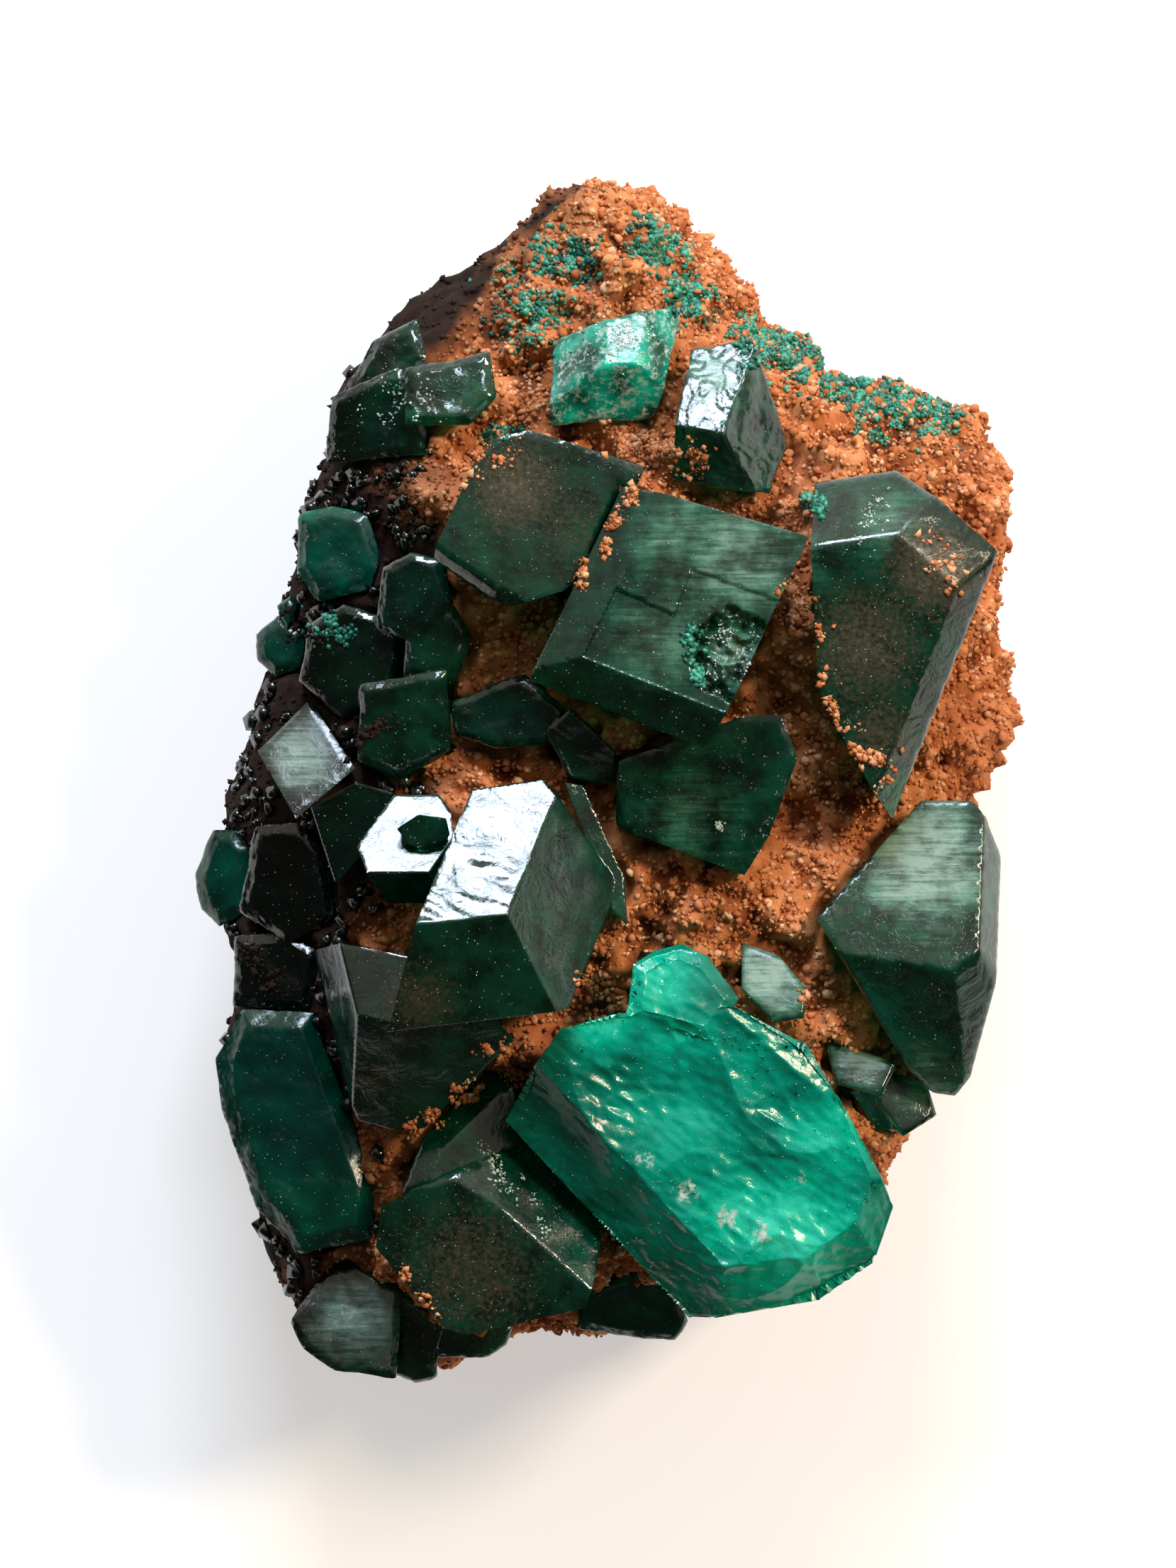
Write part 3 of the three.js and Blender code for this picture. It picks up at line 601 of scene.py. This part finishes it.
crystals = {}
for node in crystal_nodes:
    if node == "fractured_crystal":
        continue
    cloudy = node in CLOUDY
    crystals[node] = dressed(node, fractured if cloudy else dioptase, *SHAPES.get(node, ()))
    if cloudy:
        mesh = crystals[node].data
        uneven = [1 + 1.2 * noise.noise(v.co / (CLOUD_SIZE * MM)) for v in mesh.vertices]
        give(mesh, "glow", CLOUDY[node] * np.clip(uneven, 0.1, 2.2))
        give(mesh, "sparks", np.full(len(mesh.vertices), CLOUDY_SPARKS.get(node, FEW_SPARKS)))
print("crystals:", sum(len(c.data.polygons) for c in crystals.values()), "triangles")

# %% [markdown]
# The broken crystal is shaped by three sizes of noise: broad shell-like scoops, flakes and fine
# ripples, as glass breaks, pushed along each point's own normal. Its bright places and the painted
# white glints along its fold are lists of patches again.

# %% Fractured crystal
SCOOP_SIZE = 2.6
SCOOP_DEPTH = 0.45
FLAKE_SIZE = 0.8
FLAKE_DEPTH = 0.22
RIPPLE_SIZE = 0.3
RIPPLE_DEPTH = 0.035
BROKEN_LENGTH = 0.09
GRAIN_RUN = (0.83, -0.55)
GRAIN_SQUEEZE = (0.7, 1.3)
FAINT_GLOW = 0.33
GLOW_GAIN = 1.05
GLOW = [
    # bright places, given as the dusty ones are
    (5.6, -13.2, 2.0, 0.66), (1.6, -5.8, 1.2, 0.62), (0.0, -6.9, 0.9, 0.66), (4.6, -8.4, 1.8, 0.22),
    (6.6, -10.4, 1.5, 0.46), (3.9, -12.6, 1.4, 0.55), (1.2, -12.8, 1.0, 0.2), (2.2, -7.6, 1.4, 0.34),
    (2.4, -10.2, 2.2, 0.26),
]
# painted white glints along the fold, given as the bright places are
SPARKS = [
    (1.2, -11.0, 0.6, 1.15), (2.4, -11.9, 0.7, 1.2), (3.6, -12.7, 0.7, 1.25), (4.6, -13.2, 0.8, 1.2),
    (0.4, -7.2, 0.6, 0.95), (5.8, -11.6, 0.7, 0.95),
]


def broken(bm):
    """Breaks the faces that look up into scoops, flakes and ripples along the grain."""
    for vertex in bm.verts:
        if vertex.normal.z < 0.2:
            continue
        at = vertex.co / MM
        along = at.x * GRAIN_RUN[0] + at.y * GRAIN_RUN[1]
        across = at.y * GRAIN_RUN[0] - at.x * GRAIN_RUN[1]
        drawn = Vector((along * GRAIN_SQUEEZE[0], across * GRAIN_SQUEEZE[1], at.z))
        flat = min(1, max(0.1, (vertex.normal.z - 0.6) / 0.3))
        scoop = abs(noise.noise(at / SCOOP_SIZE)) * SCOOP_DEPTH
        near, far = noise.voronoi(drawn / FLAKE_SIZE)[0][:2]
        flake = (far - near) * FLAKE_DEPTH * max(0, noise.noise(at / 2.0) + 0.25)
        ripple = noise.noise(drawn / RIPPLE_SIZE) * RIPPLE_DEPTH
        vertex.co -= vertex.normal * (scoop + flat * (flake + ripple)) * MM


broken_crystal = dressed("fractured_crystal", fractured, broken, BROKEN_LENGTH)
points = points_of(broken_crystal.data)
give(broken_crystal.data, "glow", FAINT_GLOW + GLOW_GAIN * blobs_at(points, GLOW))
give(broken_crystal.data, "sparks", blobs_at(points, SPARKS))
crystals["fractured_crystal"] = broken_crystal
print("fractured crystal:", len(broken_crystal.data.polygons), "triangles")

# %% [markdown]
# The rock is remeshed into even small squares and roughened with three sizes of noise. The
# flat underside stays flat, because the specimen rests on it. The left flank, which lies in shadow,
# is painted black and is smoother. High places are paler than low ones: painted shade darkens the
# hollows.

# %% Rock
ROCK_GRAIN = 0.22
LUMPS = ((2.4, 0.35), (1.0, 0.55), (0.5, 0.50))
# where the painted shadow of the left flank begins, as y and x in mm
SHADOW_EDGE = ((-18, -8.0), (-12, -7.5), (-4, -7.0), (2, -5.0), (8, -5.5), (13, -4.5), (17, -1.5))
SHADOW_FADE = 2.0
SHADOW_WAVER = 1.3
DARKEST = 0.97
FLAT_BELOW = 0.2
SHADOWED_CALM = 0.75
# painted shade: how strongly the depth of the relief darkens the hollows and lightens the high places
HOLLOW_SHADE_MIDDLE, HOLLOW_SHADE_GAIN, HOLLOW_SHADE_RANGE = 0.2, 0.8, (-0.3, 0.42)


def painted_shadow_at(points):
    """How much painted shadow the rock gets: the left flank beyond a wavering edge, given as y and x
    in mm.
    """
    across, up = points[:, 0] / MM, points[:, 1] / MM
    edge = np.interp(up, *zip(*SHADOW_EDGE))
    waver = np.array([noise.noise(Vector(p) / (SHADOW_WAVER * MM)) for p in points])
    return DARKEST * np.clip((edge - across) / SHADOW_FADE + 0.6 + waver, 0, 1)


rock = bpy.data.objects.new("rock.finish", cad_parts["matrix"].data.copy())
bpy.context.collection.objects.link(rock)
rock.data.materials.clear()
rock.data.materials.append(rock_finish)
even = rock.modifiers.new("even", "REMESH")
even.mode = "VOXEL"
even.voxel_size = ROCK_GRAIN * MM
smoothed = bpy.data.meshes.new_from_object(rock.evaluated_get(bpy.context.evaluated_depsgraph_get()))
rock.modifiers.clear()
rock.data = smoothed

bm = bmesh.new()
bm.from_mesh(smoothed)
bm.normal_update()
painted_shadows = painted_shadow_at(points_of(smoothed))
depths = []
for vertex, shadowed_here in zip(bm.verts, painted_shadows):
    at = vertex.co / MM
    fade = min(1, max(0, at.z - FLAT_BELOW))
    push = sum(noise.noise(at / size + Vector((size, 0, 0))) * depth for size, depth in LUMPS)
    # calmer relief where the painted shadow lies
    push *= fade * (1 - SHADOWED_CALM * shadowed_here)
    vertex.co += vertex.normal * push * MM
    depths.append(push)
bm.to_mesh(smoothed)
bm.free()
smoothed.shade_smooth()
# painted shadow on the left flank, for the material to read
give(smoothed, "painted_shadow", painted_shadow_at(points_of(smoothed)))
# painted shade: the rock's hollows darker and its high places paler, from the depth of its relief
give(smoothed, "tint", np.clip(HOLLOW_SHADE_MIDDLE + HOLLOW_SHADE_GAIN * np.array(depths), *HOLLOW_SHADE_RANGE))
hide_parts("matrix")
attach(rock, "root")
print("rock:", len(smoothed.polygons), "faces")

# %% [markdown]
# Up close the rock is a mass of loose-looking crumbs. Each crumb is a small lump of twenty facets,
# knocked out of shape and turned at random; thousands are joined in one mesh by array arithmetic,
# which is far quicker than thousands of objects. Finer grains have eight facets, and tiny crystals
# are skewed blocks.

# %% Sowing
STRETCH = (0.6, 1.3)
KNOCKED = 0.25
rng = np.random.default_rng(7)


def lump_shape(kind):
    """The corners and faces of one small lump: a grain, a rounder crumb or a tiny crystal."""
    bm = bmesh.new()
    if kind == "crumb":
        bmesh.ops.create_icosphere(bm, subdivisions=1, radius=1)
    elif kind == "grain":
        bmesh.ops.create_uvsphere(bm, u_segments=4, v_segments=2, radius=1)
    else:
        bmesh.ops.create_cube(bm, size=1.6)
        bmesh.ops.triangulate(bm, faces=bm.faces[:])
    corners = np.array([v.co for v in bm.verts])
    faces = np.array([[v.index for v in f.verts] for f in bm.faces])
    bm.free()
    return corners, faces


def sown(name, places, sizes, tints, material, kind="grain"):
    """One mesh of many small uneven lumps."""
    corners, faces = lump_shape(kind)
    count = len(places)
    turns = rng.normal(size=(count, 4))
    turns /= np.linalg.norm(turns, axis=1)[:, None]
    w, x, y, z = turns.T
    spin = np.stack([1 - 2 * (y * y + z * z), 2 * (x * y - z * w), 2 * (x * z + y * w),
                     2 * (x * y + z * w), 1 - 2 * (x * x + z * z), 2 * (y * z - x * w),
                     2 * (x * z - y * w), 2 * (y * z + x * w), 1 - 2 * (x * x + y * y)], 1)
    stretch = rng.uniform(*STRETCH, (count, 1, 3))
    rough = 0 if kind == "crystal" else KNOCKED
    uneven = rng.uniform(1 - rough, 1 + rough, (count, len(corners), 1))
    shaped = corners[None] * stretch * uneven * sizes[:, None, None] * MM
    turned = np.einsum("nij,nkj->nki", spin.reshape(-1, 3, 3), shaped) + places[:, None]
    joined = (faces[None] + np.arange(count)[:, None, None] * len(corners)).reshape(-1, 3)
    mesh = bpy.data.meshes.new(name)
    mesh.vertices.add(count * len(corners))
    mesh.vertices.foreach_set("co", turned.astype(np.float32).ravel())
    mesh.loops.add(joined.size)
    mesh.loops.foreach_set("vertex_index", joined.ravel().astype(np.int32))
    mesh.polygons.add(len(joined))
    mesh.polygons.foreach_set("loop_start", np.arange(0, joined.size, 3, dtype=np.int32))
    mesh.update(calc_edges=True)
    mesh.materials.append(material)
    give(mesh, "tint", np.repeat(tints, len(corners)))
    # painted shadow on the rust grains, taken from where they lie
    give(mesh, "painted_shadow", np.repeat(painted_shadow_at(places), len(corners)))
    # of these grains only the green druse reads dust, haze and shade: no dust, a faint milky film, and
    # full painted shade
    give(mesh, "dust", np.zeros(len(mesh.vertices)))
    give(mesh, "haze_and_sheen", np.full(len(mesh.vertices), 0.1))
    give(mesh, "shade", np.zeros(len(mesh.vertices)))
    piece = bpy.data.objects.new(name, mesh)
    bpy.context.collection.objects.link(piece)
    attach(piece, "root")
    print(name, count, "grains")
    return piece


# %% [markdown]
# Crumbs lie on the rock wherever no crystal covers it. Places are drawn by area, so that they are
# even, and moved aside at random, so that the squares of the mesh don't show. A ray along the
# surface's normal tells whether a crystal is close above.

# %% Crumbs and grains
CRUMB_COUNT = 9000
CRUMB_SIZES = (0.05, 0.17)
GRAIN_COUNT = 24000
GRAIN_SIZES = (0.04, 0.12)
CLEARANCE = 1.2
START_OFF = 0.02
SUNK, RAISED = -0.05, 0.06
FLANK_BELOW = 4.0
FLOOR_GAP = 0.4
FLANK_SHARE, SIDE_SHARE = 0.08, 0.25
SHADOWED_SHARE = 0.2


def tree_of(objects):
    """A search tree of the surfaces of several pieces, for casting rays at."""
    bm = bmesh.new()
    for obj in objects:
        bm.from_mesh(obj.data)
    found = BVHTree.FromBMesh(bm)
    bm.free()
    return found


crystal_tree = tree_of(crystals.values())


def rock_sites(count, keep):
    """Places on the rock, taken by area, where no crystal lies close above."""
    polygons = smoothed.polygons
    areas = np.empty(len(polygons), np.float32)
    polygons.foreach_get("area", areas)
    centres = np.empty(len(polygons) * 3, np.float32)
    polygons.foreach_get("center", centres)
    centres = centres.reshape(-1, 3)
    normals = np.empty(len(polygons) * 3, np.float32)
    polygons.foreach_get("normal", normals)
    normals = normals.reshape(-1, 3)
    weight = areas * keep(centres, normals)
    picks = rng.choice(len(polygons), count, p=weight / weight.sum())
    free = []
    for pick in picks:
        centre, normal = Vector(centres[pick]), Vector(normals[pick])
        if crystal_tree.ray_cast(centre + normal * START_OFF * MM, normal, CLEARANCE * MM)[0] is None:
            aside = normal.orthogonal().normalized() * rng.normal() * 0.5 * ROCK_GRAIN
            aside.rotate(Matrix.Rotation(rng.uniform(0, math.tau), 3, normal))
            free.append(centre + (aside + normal * rng.uniform(SUNK, RAISED)) * MM)
    return np.array(free)


def upper_side(centres, normals):
    """More crumbs on the crystal side than on the flanks, and few below."""
    # fewer crumbs where the painted shadow lies
    bare = 1 - (1 - SHADOWED_SHARE) * painted_shadow_at(centres)
    height = centres[:, 2]
    return bare * np.where(height > FLANK_BELOW * MM, SIDE_SHARE + np.clip(normals[:, 2], 0, 1),
                           FLANK_SHARE * (height > FLOOR_GAP * MM))


sites = rock_sites(CRUMB_COUNT, upper_side)
crumbs = sown("crumbs", sites, rng.uniform(*CRUMB_SIZES, len(sites)),
              rng.uniform(0.1, 0.7, len(sites)), rock_finish, "crumb")
for part in ("first", "second"):
    sites = rock_sites(GRAIN_COUNT, upper_side)
    grains = sown("grains." + part, sites, rng.uniform(*GRAIN_SIZES, len(sites)),
                  rng.uniform(0.2, 0.7, len(sites)), rock_finish)

# %% [markdown]
# Between the large crystals of the left flank grow many tiny ones. They are small skewed blocks
# in the same green glass, sown where the painted shadow lies on the rock, and given full painted
# shade.

# %% Druse
DRUSE_COUNT = 800
DRUSE_SIZES = (0.08, 0.24)
DRUSE_LOOK = 0.35
BARE_POINT = 12.5


def left_side(centres, normals):
    """Places in the painted shadow that look up, short of the bare, shadowed point of the rock."""
    inside = (normals[:, 2] > DRUSE_LOOK) & (centres[:, 1] < BARE_POINT * MM)
    return inside * painted_shadow_at(centres) ** 2


sites = rock_sites(DRUSE_COUNT, left_side)
druse = sown("druse", sites, rng.uniform(*DRUSE_SIZES, len(sites)), np.zeros(len(sites)), dioptase,
             "crystal")

# %% [markdown]
# Fine dust lies on every face that looks up. Each fleck is a grain far smaller than a crumb, and it
# shows only as a sparkle.

# %% Dust flecks
FLECK_COUNT = 4500
FLECK_SIZES = (0.008, 0.022)
FLECK_LOOK = 0.75
FLECK_STRAY = 0.06


def face_sites(count):
    """Places on the crystal faces that look up."""
    places = []
    for crystal in crystals.values():
        for polygon in crystal.data.polygons:
            if polygon.normal.z > FLECK_LOOK:
                places.append((polygon.center, polygon.area))
    centres = np.array([p[0] for p in places])
    areas = np.array([p[1] for p in places])
    picks = rng.choice(len(places), count, p=areas / areas.sum())
    return centres[picks] + rng.normal(size=(count, 3)) * (FLECK_STRAY * MM, FLECK_STRAY * MM, 0.0)


sites = face_sites(FLECK_COUNT)
flecks = sown("dust_flecks", sites, rng.uniform(*FLECK_SIZES, len(sites)),
              rng.uniform(0.3, 0.9, len(sites)), chip_finish)

# %% [markdown]
# The teal crust follows a band along the right shoulder and sits in spots near the point of the rock
# and on crystal rims. Grains are dropped from above onto whatever lies there.

# %% Crust on the rock
CRUST = [
    # start, end and width of each stroke in mm, and its grains
    ((4.3, 13.5), (6.0, 12.6), 0.45, 420), ((6.0, 12.6), (8.0, 11.6), 0.45, 420),
    ((8.0, 11.5), (10.3, 10.9), 0.45, 420), ((1.2, 16.2), (1.9, 15.6), 0.45, 260),
    ((-1.6, 15.8), (-0.6, 15.4), 0.5, 220), ((2.1, 14.8), (2.9, 14.2), 0.4, 180),
    ((-2.6, 14.6), (-1.8, 13.6), 0.6, 240), ((6.0, 8.4), (6.4, 8.0), 0.18, 40),
    ((-3.5, 10.2), (-2.5, 10.4), 0.15, 60), ((2.5, 4.4), (2.8, 2.9), 0.14, 70),
    ((-8.6, 4.9), (-7.6, 4.4), 0.3, 60), ((7.5, 10.5), (8.3, 10.3), 0.15, 40),
]
CRUST_SIZES = (0.04, 0.15)
CRUST_COATS = 3
CRUST_GAPS = -0.25
FALL_FROM = 0.05
SPREAD = 0.8
PATCH = 0.5

everything = tree_of([rock, *crystals.values()])


def dropped_along(strokes, gaps=-0.05):
    """Places where grains come to rest when they fall along strokes, with gaps between patches."""
    found = []
    for start, end, width, count in strokes:
        for share in rng.uniform(0, 1, count):
            aside = Vector(rng.normal(size=2)) * width * SPREAD
            at = Vector(start).lerp(Vector(end), share) + aside
            if noise.noise(Vector((*at, 0)) / PATCH) < gaps:
                continue
            hit = everything.ray_cast(Vector((*at * MM, FALL_FROM)), Vector((0, 0, -1)))[0]
            if hit is not None:
                found.append(hit)
    return np.array(found)


dropped = dropped_along(CRUST * CRUST_COATS, CRUST_GAPS)
crust = sown("teal_crust", dropped, rng.uniform(*CRUST_SIZES, len(dropped)),
             rng.uniform(0.0, 0.8, len(dropped)), crust_finish)

# %% [markdown]
# Rust crumbs also cling to the crystals: in the seam between two of them, along rims and in
# corners. They are dropped in the same way.

# %% Clinging rust
CLINGING = [
    # start, end and width of each stroke in mm, and its grains
    ((1.0, 8.6), (-0.7, 5.8), 0.16, 500), ((-5.6, -10.3), (-3.6, -8.8), 0.22, 600),
    ((-3.3, -7.6), (-2.5, -8.6), 0.24, 400), ((-3.9, 9.4), (-2.6, 9.6), 0.45, 160),
    ((0.2, 10.2), (2.8, 9.4), 0.35, 900), ((6.0, 3.2), (6.6, 1.4), 0.30, 500),
    ((7.0, 1.2), (8.0, 0.2), 0.40, 600), ((5.4, 5.6), (6.1, 4.4), 0.28, 500),
    ((-6.2, -14.2), (-5.0, -15.8), 0.18, 300), ((-9.3, 5.2), (-8.6, 4.6), 0.35, 300),
    ((-6.6, 9.2), (-5.6, 8.2), 0.40, 500), ((0.2, -4.6), (-0.6, -6.0), 0.20, 300),
    ((-7.4, 1.0), (-6.4, 1.8), 0.25, 200), ((6.2, -5.9), (6.0, -6.6), 0.15, 160),
    ((-10.6, -5.0), (-9.8, -6.4), 0.35, 250), ((9.4, 7.0), (10.6, 5.6), 0.35, 120),
]
CLINGING_SIZES = (0.03, 0.16)

dropped = dropped_along(CLINGING)
least, most = CLINGING_SIZES
sizes = least + (most - least) * rng.uniform(0, 1, len(dropped)) ** 3  # mostly fine
clinging = sown("clinging_rust", dropped, sizes, rng.uniform(0.15, 0.7, len(dropped)), rock_finish)

# %% [markdown]
# Where a crystal is bruised, its own powder stays behind: on rims and at tips. The pale grains in the
# broken pit are painted glints.

# %% Bruises and painted glints
BRUISES_AND_GLINTS = [
    # strokes, as above
    ((3.25, -1.2), (3.4, -1.3), 0.10, 120),
    # the stroke in the broken pit paints pale glints
    ((-3.6, -10.6), (-2.6, -12.4), 0.22, 160), ((3.2, 4.3), (4.3, 3.1), 0.35, 260),
    ((8.2, 8.6), (7.4, 6.8), 0.25, 160), ((-2.4, -11.4), (-1.6, -13.4), 0.12, 80),
    ((0.2, 13.4), (1.2, 13.0), 0.5, 300), ((-6.8, 10.8), (-5.4, 11.6), 0.5, 200),
]
BRUISE_AND_GLINT_SIZES = (0.015, 0.06)

dropped = dropped_along(BRUISES_AND_GLINTS)
bruises_and_glints = sown("bruises_and_glints", dropped, rng.uniform(*BRUISE_AND_GLINT_SIZES, len(dropped)),
               rng.uniform(0.2, 1.0, len(dropped)), chip_finish)
